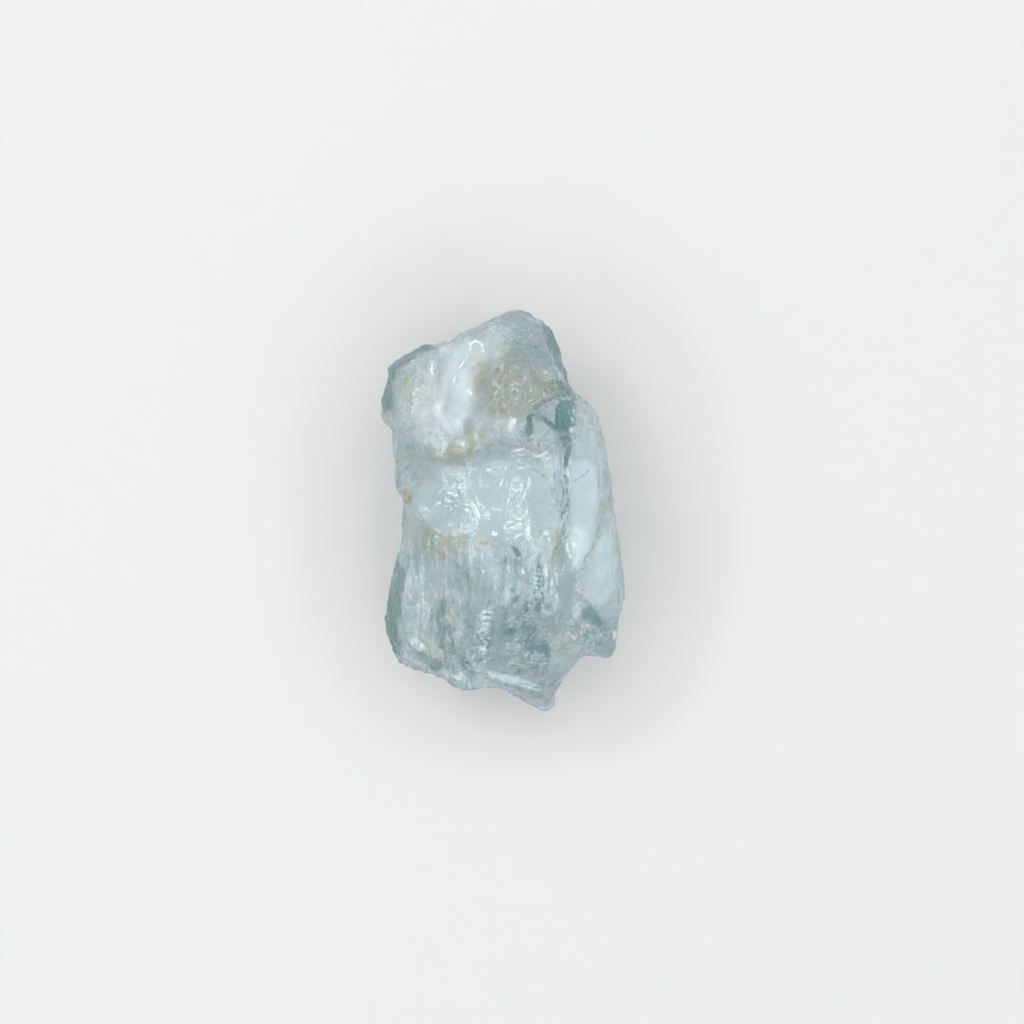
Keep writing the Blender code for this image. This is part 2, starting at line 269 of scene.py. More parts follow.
stone_mesh = bmesh.new()
stone_mesh.from_mesh(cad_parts["crystal"].data)
bmesh.ops.remove_doubles(stone_mesh, verts=stone_mesh.verts, dist=MERGE * MM)
bmesh.ops.scale(stone_mesh, vec=Vector((1, 1, 1)) / MM, verts=stone_mesh.verts)
crease = stone_mesh.edges.layers.float.new("crease_edge")
ridges = 0
for edge in stone_mesh.edges:
    if edge.is_manifold and edge.calc_face_angle() > RIDGE_ANGLE:
        edge[crease] = RIDGE_CREASE
        ridges += 1
print("creased edges:", ridges)

stone_data = bpy.data.meshes.new("crystal_stone")
stone_mesh.to_mesh(stone_data)
stone_mesh.free()
stone = put("crystal_stone", stone_data)
smooth = stone.modifiers.new("smooth", "SUBSURF")
smooth.levels = smooth.render_levels = SMOOTH_LEVELS


def with_modifiers():
    """The stone's mesh as its modifiers leave it."""
    graph = bpy.context.evaluated_depsgraph_get()
    return bpy.data.meshes.new_from_object(stone.evaluated_get(graph))


def triangles(mesh):
    return sum(len(face.vertices) - 2 for face in mesh.polygons)


smoothed = with_modifiers()
print("triangles of the smooth copy:", triangles(smoothed))

# %% [markdown]
# Relief comes out alike only where the corners lie equally far apart. So a Remesh modifier lays an
# even net over the smooth copy. The upper side, with its fine breaks, is divided once more, and
# each corner is put back on the smooth copy, which makes the ridges sharp again.

# %% An even net
NET_SIZE = 0.152  # mm between the corners of the net, and half of that on the upper side
FINER_FROM = 0.05  # faces that lean up at least this much are divided
EVEN_OUT = 3  # rounds of smoothing that even out the net, and as many that take its facets off
SMOOTHING = {"factor": 0.5, "use_axis_x": True, "use_axis_y": True, "use_axis_z": True}

net = stone.modifiers.new("net", "REMESH")
net.mode = "VOXEL"
net.voxel_size = NET_SIZE
fine = with_modifiers()
stone.modifiers.clear()
stone.data = fine

net_mesh = bmesh.new()
net_mesh.from_mesh(fine)
chosen = {edge for face in net_mesh.faces if face.normal.z > FINER_FROM for edge in face.edges}
bmesh.ops.subdivide_edges(net_mesh, edges=list(chosen), cuts=1, use_grid_fill=True)
bmesh.ops.triangulate(net_mesh, faces=[face for face in net_mesh.faces if len(face.verts) > 4])
source = BVHTree.FromPolygons(
    [vertex.co for vertex in smoothed.vertices], [face.vertices for face in smoothed.polygons]
)
for put_back in [True] * EVEN_OUT + [False] * EVEN_OUT:
    bmesh.ops.smooth_vert(net_mesh, verts=net_mesh.verts, **SMOOTHING)
    if put_back:
        for vertex in net_mesh.verts:
            vertex.co = source.find_nearest(vertex.co)[0]
net_mesh.to_mesh(fine)
net_mesh.free()
print("triangles of the net:", triangles(fine))

# %% [markdown]
# ## Rules for relief and colour
#
# Relief is a height for each corner, and the corner moves along its normal by that much. With all
# places in one numpy array, a rule such as "near this crack" works on all corners at once. A mask
# is a number from 0 to 1 for each corner: the share of a rule that counts there.

# %% Where each corner is
count = len(fine.vertices)


def per_corner(name):
    """A vector for each corner of the net, in the rows of an array."""
    values = np.empty(count * 3, dtype=np.float32)
    fine.vertices.foreach_get(name, values)
    return values.reshape(-1, 3).astype(float)


def tell(name, values, level=0.2):
    """Prints on what share of the corners some values are above a level."""
    print(f"{name}, share of corners:", round(float((values > level).mean()), 3))


places, facings = per_corner("co"), per_corner("normal")
print("corners:", count)

# %% [markdown]
# Two helpers make most rules. A rise turns a measure into a share, without a hard step. Waves are
# smooth noise, drawn out to a size, and any other shift gives other waves.


# %% Rises and waves
WAVE_GAIN = 1.6  # brings the noise to about -1 to 1


def rise(values, start, full):
    """0 up to start and 1 from full on, with a smooth way between."""
    share = np.clip((values - start) / (full - start), 0, 1)
    return share * share * (3 - 2 * share)


def waves(size, shift=0.0, turn=0.0):
    """Smooth random waves from about -1 to 1. Size is their length in mm, one or one per axis."""
    turned = np.array(Matrix.Rotation(math.radians(turn), 3, "Z"))
    scaled = places @ turned / np.array(size, dtype=float) + shift
    return np.array([noise.noise(Vector(place)) for place in scaled]) * WAVE_GAIN


def veins(size, shift, width, turn):
    """Fine wandering lines: 1 where a wave crosses zero, in the places that another wave picks."""
    line = 1 - rise(np.abs(waves(size, shift, turn)), 0, width)
    return line * rise(waves(1.1, shift + 0.5), -0.1, 0.4)


# %% [markdown]
# Marks belong to the upper side, and some also to the steep walls round it. Nothing on a natural
# stone has a ruled border, so masks are drawn on places that slow waves have pushed aside a little.

# %% The sides, and places pushed aside
PUSH, FINE_PUSH = 0.07, 0.03

upper = rise(facings[:, 2] + 0.15 * waves(0.6, 19), 0.0, 0.35)
under = rise(-facings[:, 2], 0.0, 0.4)
with_walls = rise(facings[:, 2], -0.4, -0.05)
ragged = waves(0.3, 23)
pushed = places[:, :2] + PUSH * np.stack([waves(0.7, 71), waves(0.7, 73)], axis=1)
pushed += FINE_PUSH * np.stack([ragged, waves(0.28, 79)], axis=1)
print("corners on the upper side:", int(upper.sum()))

# %% [markdown]
# Most marks on a rough stone have a place of their own, so they are drawn, as on squared paper
# laid over the stone: a crack is a line and a worn face an outline. A drawing starts at an "x,y"
# in whole squares from the middle and goes on in steps of the same kind, so the tables stay short
# and a mark moves as one. A patch is an ellipse, given in millimetres.

# %% Masks from a place, a line and an area
SQUARES = 20  # squares of the paper to the millimetre
PATCH_SOFT = 0.5


def on_paper(drawing):
    """The places of a drawing, in millimetres."""
    steps = np.array([step.split(",") for step in drawing.split()], dtype=float)
    return np.cumsum(steps, axis=0) / SQUARES


def turned_axes(middle, turn):
    """How far each corner is from a middle, along X and Y axes that are turned."""
    (x, y), turned = (pushed - middle).T, math.radians(turn)
    cos, sin = math.cos(turned), math.sin(turned)
    return x * cos + y * sin, y * cos - x * sin


def patch(middle, reach, turn=0.0):
    """1 inside an ellipse seen from above and 0 outside, with a soft border."""
    x, y = turned_axes(middle, turn)
    away = np.hypot(x / reach[0], y / reach[1])
    return rise(1 + PATCH_SOFT / 2 - away, 0, PATCH_SOFT) * upper


def from_stroke(spots, start, end):
    """How far some places are from the straight stroke between two others."""
    span = np.subtract(end, start)
    share = np.clip((spots - start) @ span / (span @ span), 0, 1)
    return np.linalg.norm(spots - start - share[:, None] * span, axis=1)


def from_line(points):
    """How far each corner is from a line of places, seen from above."""
    return np.min([from_stroke(pushed, *ends) for ends in zip(points, points[1:])], axis=0)


def traces(lines, width):
    """1 on any of some drawn lines and 0 from width on, on the upper side only."""
    near = [1 - rise(from_line(on_paper(line)), 0, width) for line in lines.values()]
    return np.max(near, axis=0) * upper


def area(drawing, soft, side=upper):
    """1 inside a drawn outline and 0 outside, with a soft border."""
    x, y = pushed[:, 0], pushed[:, 1]
    closed = np.vstack([on_paper(drawing), on_paper(drawing)[:1]])
    inside = np.zeros(count, dtype=bool)
    for (x0, y0), (x1, y1) in zip(closed, closed[1:]):
        crossed = (y0 > y) != (y1 > y)
        rate = (x1 - x0) / (y1 - y0) if y1 != y0 else 0.0
        inside ^= crossed & (x < x0 + rate * (y - y0))
    away = from_line(closed)
    return rise(np.where(inside, away, -away), -soft, soft) * side


def strongest(areas, soft, side=upper):
    """The strongest of many areas, each of which has its strength first."""
    return np.max([much * area(drawing, soft, side) for much, drawing in areas.values()], axis=0)


def patches(rows):
    """The strongest of many patches, each of which has its strength last."""
    return np.max([much * patch(*place) for *place, much in rows], axis=0)


# %% [markdown]
# ## Grain of the breaks
#
# No break is quite even, so three sizes of random waves lie on it, each finer and lower than the
# last. The worn lobe is pecked as well. The face at the lower left broke along the crystal's
# length, so its waves are drawn out along Y into streaks. Some faces are smooth and get less.

# %% Uneven breaks and streaks
GRAIN = ((1.3, 0.045), (0.55, 0.018), (0.27, 0.009))  # size and height, mm
PECK_SIZE, PECK_HEIGHT = 0.42, 0.014
STREAK_SIZE, STREAK_HEIGHT = (0.26, 2.4, 1.2), 0.036
FINE_STREAK_SIZE, FINE_STREAK_HEIGHT = (0.17, 1.3, 0.8), 0.016
EVEN_PLACES = {
    "pane": ((4, 0.7), (0.85, 3.2), 0.8),  # middle, reach, and how much less uneven it is
    "right side": ((4.7, -2.8), (0.9, 3), 0.75),
    "middle hollow": ((0.4, 0.5), (2.1, 2.2), 0.85),
    "left hollow": ((-3, 0.5), (1.4, 1.5), 0.75),
    "lobe": ((-1.6, 6.6), (2.6, 1.9), 0.4),
    "blade": ((0.5, -8.45), (1.3, 0.35), 0.8),
    "scoop of the lower face": ((-0.4, -3), (1.1, 1.3), 0.6),
    "facet of the notch": ((2.05, 3.75), (0.6, 0.6), 0.9),
    "lip": ((-1.65, -8.6), (4.2, 0.55), -17, 0.8),  # this one is turned
    "right of the crown": ((1.7, 8), (0.7, 0.8), 0.7),
}

lobe = rise(places[:, 1], 2.6, 3.8) * upper
streaked = rise(-pushed[:, 1], 0.8, 2.4) * rise(-places[:, 0], -2.6, -0.6) * upper
even = 1 - patches(EVEN_PLACES.values())
height = sum(tall * waves(size) for size, tall in GRAIN) * even
streaks = waves(FINE_STREAK_SIZE, 5.7)
height -= PECK_HEIGHT * lobe * np.abs(waves(PECK_SIZE, 7.3))
height += STREAK_HEIGHT * streaked * waves(STREAK_SIZE, 3.1)
height += FINE_STREAK_HEIGHT * streaked * streaks
print("grain, mm:", round(float(height.min()), 3), "to", round(float(height.max()), 3))

# %% [markdown]
# A break along many small flaws isn't one face but a patchwork of flakes, each leaning its own way.
# The cells of a Voronoi pattern are the flakes. A cell's own random numbers give its lean and tone,
# and the gap between the nearest two cell middles tells where its border runs, where shade is later
# painted.

# %% Flakes
LONG_FLAKES = (0.55, 1.5, 1.2)
SHORT_FLAKES = (0.75, 0.6, 0.7)
FLAKE_HEIGHT, UNDER_FLAKE_HEIGHT = 0.045, 0.07
SHORT_SHARE = 0.7  # how high the short flakes are next to the long ones
BORDER_WIDTH = 0.1
LEAN_SEED, TONE_SEED = 9.7, 13.3  # any two numbers that send the cells to random places
FOOT = "-12,-98 32,10 34,-12 2,-80 -46,8 -22,20"
NOTCHED = "24,98 40,26 12,-44 -20,-22 -28,10"


def flakes(size, shift, turn):
    """Small tilted faces: the height on its face, the face's tone, and nearness to its border."""
    turned = np.array(Matrix.Rotation(math.radians(turn), 3, "Z"))
    warped = np.column_stack([pushed, places[:, 2]]) @ turned / np.array(size) + shift
    lean, tone, border = np.zeros(count), np.zeros(count), np.zeros(count)
    for i, place in enumerate(warped):
        place = Vector(place)
        away, middles = noise.voronoi(place)
        slope = noise.cell_vector(middles[0] * LEAN_SEED) * 2 - Vector((1, 1, 1))
        lean[i] = (place - middles[0]).dot(slope)
        tone[i] = noise.cell(middles[0] * TONE_SEED)
        border[i] = away[1] - away[0]
    return lean, tone, 1 - rise(border, 0, BORDER_WIDTH)


long_lean, long_tone, long_border = flakes(LONG_FLAKES, 3.3, 4)
short_lean, short_tone, short_border = flakes(SHORT_FLAKES, 9.1, -20)
foot, notched = area(FOOT, 0.5), area(NOTCHED, 0.3)
flaky_long = streaked * (1 - foot)
flaky_short = np.clip(foot + notched, 0, 1) * even
height += FLAKE_HEIGHT * (flaky_long * long_lean + SHORT_SHARE * flaky_short * short_lean)
height += UNDER_FLAKE_HEIGHT * (1 - upper) * (long_lean + short_lean)
flake_tone = flaky_long * (long_tone - 0.5) + flaky_short * (short_tone - 0.5)
flake_border = np.maximum(flaky_long * long_border, flaky_short * short_border)
print("flakes lean, mm:", round(float((FLAKE_HEIGHT * long_lean).max()), 3))

# %% [markdown]
# ## Ripples
#
# Where a crack ran fast through the stone it left ripples, like those that a stone leaves in water.
# In the hollows they are nested loops, and beside the spine and along the lip they are straight.
# Each set is a sine of a distance, under a mask that ends it. A sparkle is a patch where the
# ripples broke into short ridges.

# %% Nested loops, straight striae and sparkles
FADE = 0.4  # the share of their reach in which loops die away
BEND = 0.1  # mm
RIDGE_SIZE = (0.4, 0.12, 0.3)


def loops(middle, stretch, length, tall, reach, turn=0.0):
    """Nested ripples round a place, stretched along their own Y."""
    x, y = turned_axes(middle, turn)
    away = np.hypot(x, y / stretch)
    share = rise(reach - away, 0, reach * FADE)
    return tall * share * np.sin(2 * math.pi * away / length) * upper


def striae(middle, reach, turn, length, tall, lean=0.0):
    """Straight ripples across a direction, broken up by slow waves, in a patch that may lean."""
    turned = math.radians(turn)
    line = places[:, 0] * math.cos(turned) + places[:, 1] * math.sin(turned)
    bent = line + BEND * slow_bend
    share = patch(middle, reach, lean) * rise(breakup, -0.6, 0.3)
    return tall * share * np.sin(2 * math.pi * bent / length)


def sparkle(middle, reach, turn, tall, lean=0.0):
    """A rough patch of short broken ridges that run across the turn."""
    broken = waves(RIDGE_SIZE, 13, turn - 90)
    return tall * patch(middle, reach, lean) * broken


slow_bend = waves(0.9, 11)
breakup = waves(0.5, 17)

ripples = (
    loops((0.65, 0.4), 2.6, 0.21, 0.01, 0.85, -4)
    + loops((0.5, -0.75), 0.5, 0.34, 0.01, 0.8)
    + loops((-1.85, -0.4), 1.2, 0.26, 0.014, 0.95) * rise(pushed[:, 0], -2.2, -1.7)
    + loops((2.25, -4.25), 2.2, 0.28, 0.016, 0.6)
    + loops((4.4, -3.6), 1.6, 0.45, 0.006, 1.7, 12)
    + loops((3.0, 2.0), 1.2, 0.36, 0.01, 0.9)
    + striae((1.4, 2.85), (1.3, 0.4), 66, 0.22, 0.01)
    + sparkle((-2.45, 1.0), (0.5, 1.15), 80, 0.023)
    + sparkle((-3.1, 0.7), (0.4, 0.55), 115, 0.02)
    + sparkle((-0.75, -5.1), (0.28, 0.5), 80, 0.04)
    + sparkle((-0.95, -6.8), (0.32, 1.05), 100, 0.04, 8)
    + sparkle((0.9, -5.4), (0.8, 0.5), 60, 0.024)
    + sparkle((2.1, -7.2), (0.5, 0.8), 110, 0.024)
    + striae((1.72, -3.6), (0.28, 1.3), 88, 0.22, 0.022)
    + striae((0.5, -0.95), (0.55, 0.4), 85, 0.22, 0.014)
    + striae((-4.3, -4.0), (0.6, 2.4), 10, 0.3, 0.01)
    + striae((-0.4, -8.2), (1.9, 0.3), 60, 0.26, 0.006, -12)
    + striae((-2.3, 7.3), (1.6, 0.9), 62, 0.42, 0.006)
    + striae((3.0, 5.3), (0.4, 1.2), 75, 0.3, 0.022)
)
height += ripples
print("ripples, mm:", round(float(ripples.max() - ripples.min()), 3))

# %% [markdown]
# ## Cracks
#
# A crack that reaches the surface is a fine groove, and iron-rich water has left a brown film in
# some of them. The grooves are cut below, and the film is a mask for the finish.

# %% Cracks with iron in them
CRACKS = {
    "under the lobe": "-107,47 8,3 11,3 17,-1 18,-4 16,-3",
    "round the arch": "-37,45 8,9 10,8 9,6 12,-1 15,-4 13,-1",
    "left": "-88,-4 6,-4 8,-7 8,-7 12,-5",
    "middle": "-54,-27 13,1 8,-1 8,-2 8,-1 9,-4 10,-3 6,-6",
    "twig": "30,40 10,-5 9,-3",
    "right side": "93,33 2,-12 4,-19 -3,-16 -7,-20 -8,-15 -11,-8",
    "lower face": "-54,-98 4,-5 3,-8",
}
print("stained cracks:", len(CRACKS))

# %% [markdown]
# Clean cracks and the feet of small steps hold nothing but air. They throw light aside, so they
# show as dark hairlines, and later painted shade darkens them.

# %% Clean cracks and steps
CLEAN_CRACKS = {
    "on the pane": "71,30 6,5 4,1 4,5",
    "right twig": "99,2 10,2",
    "beside the band": "40,189 6,-18 4,-22 8,-22 5,-8",
    "notch line": "23,87 11,8 10,7 9,7",
    "notch line two": "33,67 9,7 9,7",
    "notch line three": "49,127 8,-8 10,-4",
    "beside the stain": "15,159 8,-10 7,-12 8,-11 9,-2 8,1",
    "stain edge": "55,121 -12,-9 -10,-8 -8,-8",
    "spine": "62,59 -1,-16",
    "spine low": "58,24 -1,-18 0,-15",
    "spine lowest": "53,-24 -3,-13 -2,-14",
    "diagonal": "-48,-49 8,-6 12,-12 9,-9 8,-5",
    "corner": "82,-57 -1,-12 -2,-12 -5,-8",
    "block": "70,-89 11,2 10,-9 6,-15",
    "blade top": "-33,-157 14,-5 16,-5 20,-6 20,-6",
    "blade foot": "-19,-165 21,-9 20,-6 20,-6",
    "striped dark": "38,-45 1,-24 -1,-26",
    "striped dark two": "45,-51 -1,-38",
    "lower bow": "2,-89 7,-8 8,-10 4,-12",
    "arch on the left": "-60,-134 1,15 5,9 4,-11 -1,-13",
}
print("clean cracks:", len(CLEAN_CRACKS))

# %% [markdown]
# Healed cracks are finer still. They wander and are drawn by rule: pale with a painted reflection
# where they hold air, and dark with painted shade where they hold nothing.

# %% Healed cracks
# The pale veins later get a painted reflection and the dark ones painted shade.
pale_veins = veins((0.9, 1.5, 1.0), 81, 0.12, -25) + veins((0.5, 0.9, 0.7), 83.5, 0.14, 15)
dark_veins = veins((1.0, 1.6, 1.0), 87, 0.1, 10) + veins((0.5, 0.8, 0.7), 89.5, 0.12, -35)
pale_veins, dark_veins = (np.clip(lines, 0, 1) * upper for lines in (pale_veins, dark_veins))
tell("veins", pale_veins + dark_veins, 0.3)

# %% [markdown]
# A crack opens and closes as it goes, so ragged waves vary the depth of each groove. A bump in the
# material could draw grooves too, but a real one bends the light that passes through the stone.

# %% Grooves
GROOVE_WIDTH, GROOVE_DEPTH = 0.085, 0.05
VEIN_DEPTH = 0.012

stained_cracks = traces(CRACKS, GROOVE_WIDTH) * np.clip(0.6 + 0.8 * ragged, 0.1, 1)
clean_cracks = traces(CLEAN_CRACKS, GROOVE_WIDTH) * np.clip(0.55 + 0.6 * ragged, 0, 1)
height -= GROOVE_DEPTH * np.maximum(stained_cracks, clean_cracks)
height -= VEIN_DEPTH * even * np.maximum(pale_veins, dark_veins)
print("corners in a groove:", int((np.maximum(stained_cracks, clean_cracks) > 0.5).sum()))

# %% [markdown]
# Small pits follow some ridges, where crumbs have broken out of the edge. They are scattered along
# lines with a fixed seed, so the stone is the same each time.

# %% Pits
PIT_LINES = (  # number, spread in mm, line
    (26, 0.16, "69,120 1,-24 -4,-24 -4,-20"),
    (12, 0.1, "62,48 0,-36 -4,-24"),
    (8, 0.25, "48,122 -20,-24 -4,-14"),
    (8, 0.3, "4,-76 22,-22 12,6"),
    (8, 0.5, "-72,-112 20,-32 22,-4"),
    (6, 0.4, "20,-124 20,-28"),
)
PIT_REACH = (0.096, 0.192)
PIT_DEPTH = 0.06

chance = np.random.default_rng(4)


def scattered(number, spread, drawing):
    """Random places near a drawn line."""
    line = on_paper(drawing)
    for step in chance.uniform(0, len(line) - 1, number):
        first = int(step)
        middle = line[first] + (line[first + 1] - line[first]) * (step - first)
        yield middle + chance.uniform(-spread, spread, 2)


pits = np.zeros(count)
for scatter in PIT_LINES:
    for middle in scattered(*scatter):
        away = np.linalg.norm(pushed - middle, axis=1)
        pits = np.maximum(pits, 1 - rise(away, 0, chance.uniform(*PIT_REACH)))
pits *= upper
height -= PIT_DEPTH * pits
print("pits:", sum(scatter[0] for scatter in PIT_LINES))

# %% [markdown]
# The finest breaks are strokes, a fraction of a millimetre long. They stand together like the
# barbs of a feather: pale with a painted highlight where a sliver has lifted, dark with painted
# shade where one has gone, and rusty where water got in. A group has its strength, number, spread
# in millimetres, line, direction in degrees and the shortest and longest of its strokes.

# %% Strokes
STROKES = (
    ("pale", 0.34, 70, 0.85, "-78,-89 15,-30 10,-25", 78, 0.25, 0.9),  # feathers at the lower left
    ("dark", 0.4, 46, 0.9, "-83,-89 20,-30 15,-30", 80, 0.25, 0.8),
    ("rusty", 0.28, 16, 0.8, "-73,-89 20,-50", 76, 0.2, 0.6),
    ("pale", 0.75, 50, 0.3, "-15,-93 -6,-26 -2,-34", 12, 0.12, 0.36),  # sparkling column
    ("dark", 0.5, 24, 0.35, "-13,-93 -4,-26 -4,-34", 12, 0.12, 0.35),
    ("pale", 0.34, 60, 1, "9,-104 18,-35", 40, 0.12, 0.5),  # bottom hollow
    ("dark", 0.55, 56, 1, "12,-101 17,-43", 55, 0.12, 0.5),
    ("pale", 0.34, 36, 0.75, "62,-109 25,-25", 60, 0.12, 0.5),  # block
    ("dark", 0.45, 34, 0.75, "62,-109 30,-25", 70, 0.12, 0.5),
    ("rusty", 0.4, 12, 0.6, "53,-119 19,-15", 60, 0.1, 0.3),
    ("pale", 0.45, 26, 0.35, "-47,39 -4,-33", 12, 0.15, 0.45),  # left hollow
    ("dark", 0.5, 12, 0.45, "-48,31 -5,-25", 14, 0.1, 0.35),
    ("pale", 0.55, 7, 0.25, "11,55 18,-5 18,5", 20, 0.3, 0.6),  # needles under the arch
    ("dark", 0.35, 8, 0.3, "13,53 18,-5 18,7", 24, 0.2, 0.5),
    ("dark", 0.75, 12, 0.15, "63,67 -1,-26", 80, 0.1, 0.4),  # beside the spine
    ("dark", 0.38, 16, 0.2, "61,31 -2,-40 -5,-40", 88, 0.1, 0.5),
    ("pale", 0.55, 20, 0.2, "66,61 -2,-40 -5,-35 -6,-35", 84, 0.1, 0.4),
    ("dark", 0.65, 14, 0.2, "34,-49 1,-46", 90, 0.4, 1.1),  # striped band
    ("pale", 0.45, 14, 0.25, "43,-55 3,-36", 88, 0.3, 0.9),
    ("dark", 0.8, 24, 0.2, "67,123 3,-17 -5,-25 -4,-25", 60, 0.05, 0.16),  # crumbs of the notch
    ("pale", 0.7, 14, 0.2, "69,119 2,-16 -5,-24", 60, 0.05, 0.14),
    ("dark", 0.75, 22, 0.25, "25,101 17,18 21,6", 40, 0.1, 0.4),  # over the notch
    ("pale", 0.4, 22, 0.3, "-107,-149 34,-8 40,-16 50,-16 25,-6", 70, 0.1, 0.35),  # lip
    ("dark", 0.4, 16, 0.3, "-107,-145 34,-8 40,-16 50,-18 28,-6", 80, 0.1, 0.35),
    ("pale", 0.26, 30, 0.85, "-23,-59 30,-30", 62, 0.15, 0.6),  # middle of the lower face
    ("dark", 0.4, 18, 0.85, "-18,-59 30,-30", 70, 0.1, 0.4),
    ("rusty", 0.32, 26, 0.7, "-78,-29 25,-16 20,-4", 66, 0.1, 0.5),  # below the crack
    ("pale", 0.24, 24, 0.8, "-88,-49 35,-20", 74, 0.2, 0.7),
    ("rusty", 1, 26, 0.85, "-15,125 30,-14", 80, 0.05, 0.16),  # stain
    ("rusty", 0.55, 20, 0.45, "-63,53 25,8 15,10", 66, 0.1, 0.4),  # ledge
)
STROKE_WIDTH = 0.075
STROKE_TURN = 14.0  # degrees, how far the strokes of a group stray from its direction
STROKE_LIFT = {"pale": 0.022, "dark": -0.03, "rusty": 0.0}

strokes = {kind: np.zeros(count) for kind in STROKE_LIFT}
for kind, strength, number, spread, line, turn, *lengths in STROKES:
    for middle in scattered(number, spread, line):
        angle = math.radians(chance.normal(turn, STROKE_TURN))
        half = chance.uniform(*lengths) / 2
        reach = half * np.array([math.cos(angle), math.sin(angle)])
        near = np.flatnonzero(np.abs(pushed - middle).max(axis=1) < half + STROKE_WIDTH)
        away = from_stroke(pushed[near], middle - reach, middle + reach)
        drawn = chance.uniform(0.5, 1.0) * (1 - rise(away, 0, STROKE_WIDTH)) * upper[near]
        strokes[kind][near] = np.maximum(strokes[kind][near], strength * drawn)
for kind, lift in STROKE_LIFT.items():
    height += lift * strokes[kind]
print("strokes:", sum(group[2] for group in STROKES))

# %% [markdown]
# ## Working the relief in
#
# The heights are applied at last. On the parting face they only go up, into the stone, so the stone
# still rests on that face.

# %% Relief
UNDER_LIFT, UNDER_SIZE = 0.1, 0.9
REST_LEVEL = 0.25  # mm, the height below which a corner belongs to the parting face
CLEARANCE = 0.004

worked = places + facings * height[:, None]
low_down = 1 - rise(places[:, 2], 0, REST_LEVEL)
lift = UNDER_LIFT * np.abs(waves(UNDER_SIZE, 31))
resting = np.maximum(places[:, 2] + lift, CLEARANCE)
worked[:, 2] = worked[:, 2] * (1 - low_down) + low_down * resting
worked *= MM
fine.vertices.foreach_set("co", worked.ravel().astype(np.float32))
fine.update()
fine.shade_smooth()
print("lowest and highest, mm:", worked[:, 2].min() / MM, worked[:, 2].max() / MM)

# %% [markdown]
# ## Films and wear
#
# The masks from here on go to the finish. The first is the yellow-brown iron film in the cracks and
# over the lobe's right half. Water leaves it unevenly, so two sizes of waves break it into clouds.

# %% Iron film
FILMS = {
    "core of the lobe": (0.72, "-7,145 12,2 11,-4 5,-12 -4,-12 -12,-4 -11,6 -5,13"),
    "foot of the lobe": (0.56, "-21,113 18,2 20,-4 11,-4 -7,-10 -12,-5 -12,-1 -12,6"),
    "lobe": (0.5, "-28,139 10,6 15,2 20,-2 15,-8 15,-10 8,-5 -12,-10 -10,-8 -10,-11 -14,-1 -12,-2 "
        "-12,5 -8,11 -4,15"),
    "lobe top": (0.28, "-6,161 11,5 6,-7 -2,-14 -12,-2"),
    "dark spots": (0.9, "4,100 5,0 1,-6 -6,0"),
    "dark spots left": (0.8, "-22,103 6,0 0,-5 -6,0"),
    "ledge": (0.34, "-48,71 15,10 15,-2 1,-13 -10,-10 -11,-11 -25,-1 -4,9 10,6"),
    "ledge left": (0.3, "-103,53 15,6 21,-3 2,-9 -23,0"),
    "left corner": (0.95, "-107,25 10,-2 7,-8 -1,-9 -8,-1 -7,6"),
    "veil of the knob": (0.13, "-108,146 37,5 8,-40 -8,-40 -32,10 -8,30"),
    "veil of the rim": (0.08, "-119,-55 12,6 8,-15 -1,-25 -6,-25 -1,-30 -10,5 -10,30 2,30"),
    # A painted yellow glint, tinted with the iron film.
    "glint": (0.22, "80,87 9,0 0,-8 -8,0"),
    "crack cloud": (0.42, "-85,-9 14,-10 18,-3 20,-2 -2,-11 -13,-10 -17,-4 -14,12"),
    "knob": (0.24, "-88,115 9,-2 1,-12 -8,0"),
    "knot": (0.85, "96,7 6,1 6,-5 -6,-5 -6,1"),
    "block film": (0.32, "42,-111 11,0 4,-13 -8,-5 -8,6"),
    "block film right": (0.3, "69,-114 10,0 0,-11 -10,0"),
    "block film low": (0.3, "53,-129 14,-2 2,-14 -12,-2"),
    "spine film": (0.3, "49,-19 9,6 -1,-21 -6,-23 -6,-4 2,24"),
    "rim film": (0.3, "-101,136 8,0 0,-27 -8,0"),
    "lip film": (0.3, "-79,-137 14,0 8,-12 -16,-2"),
    "veil of the lower face": (0.09, "-88,-74 25,10 30,-17 10,-48 -18,-22 -26,7 -24,33"),
    "yellow streak": (0.3, "-56,-129 4,0 0,-20 -4,0"),
    "over the left hollow": (0.14, "-103,56 40,-7 10,-14 -30,-14 -16,-10"),
}
FILM_SIZE, FILM_FINE_SIZE = (0.35, 0.6, 0.5), (0.13, 0.17, 0.17)
FILM_SOFT = 0.28
CRACK_FILM, STROKE_FILM = 0.6, 0.8

clouds = 0.72 + 0.42 * waves(FILM_SIZE, 41) + 0.45 * waves(FILM_FINE_SIZE, 43)
iron = strongest(FILMS, FILM_SOFT) * np.clip(clouds, 0.1, 1.25)
lines = np.maximum(CRACK_FILM * stained_cracks, STROKE_FILM * strokes["rusty"])
iron = np.maximum(iron, lines)
tell("iron film", iron)
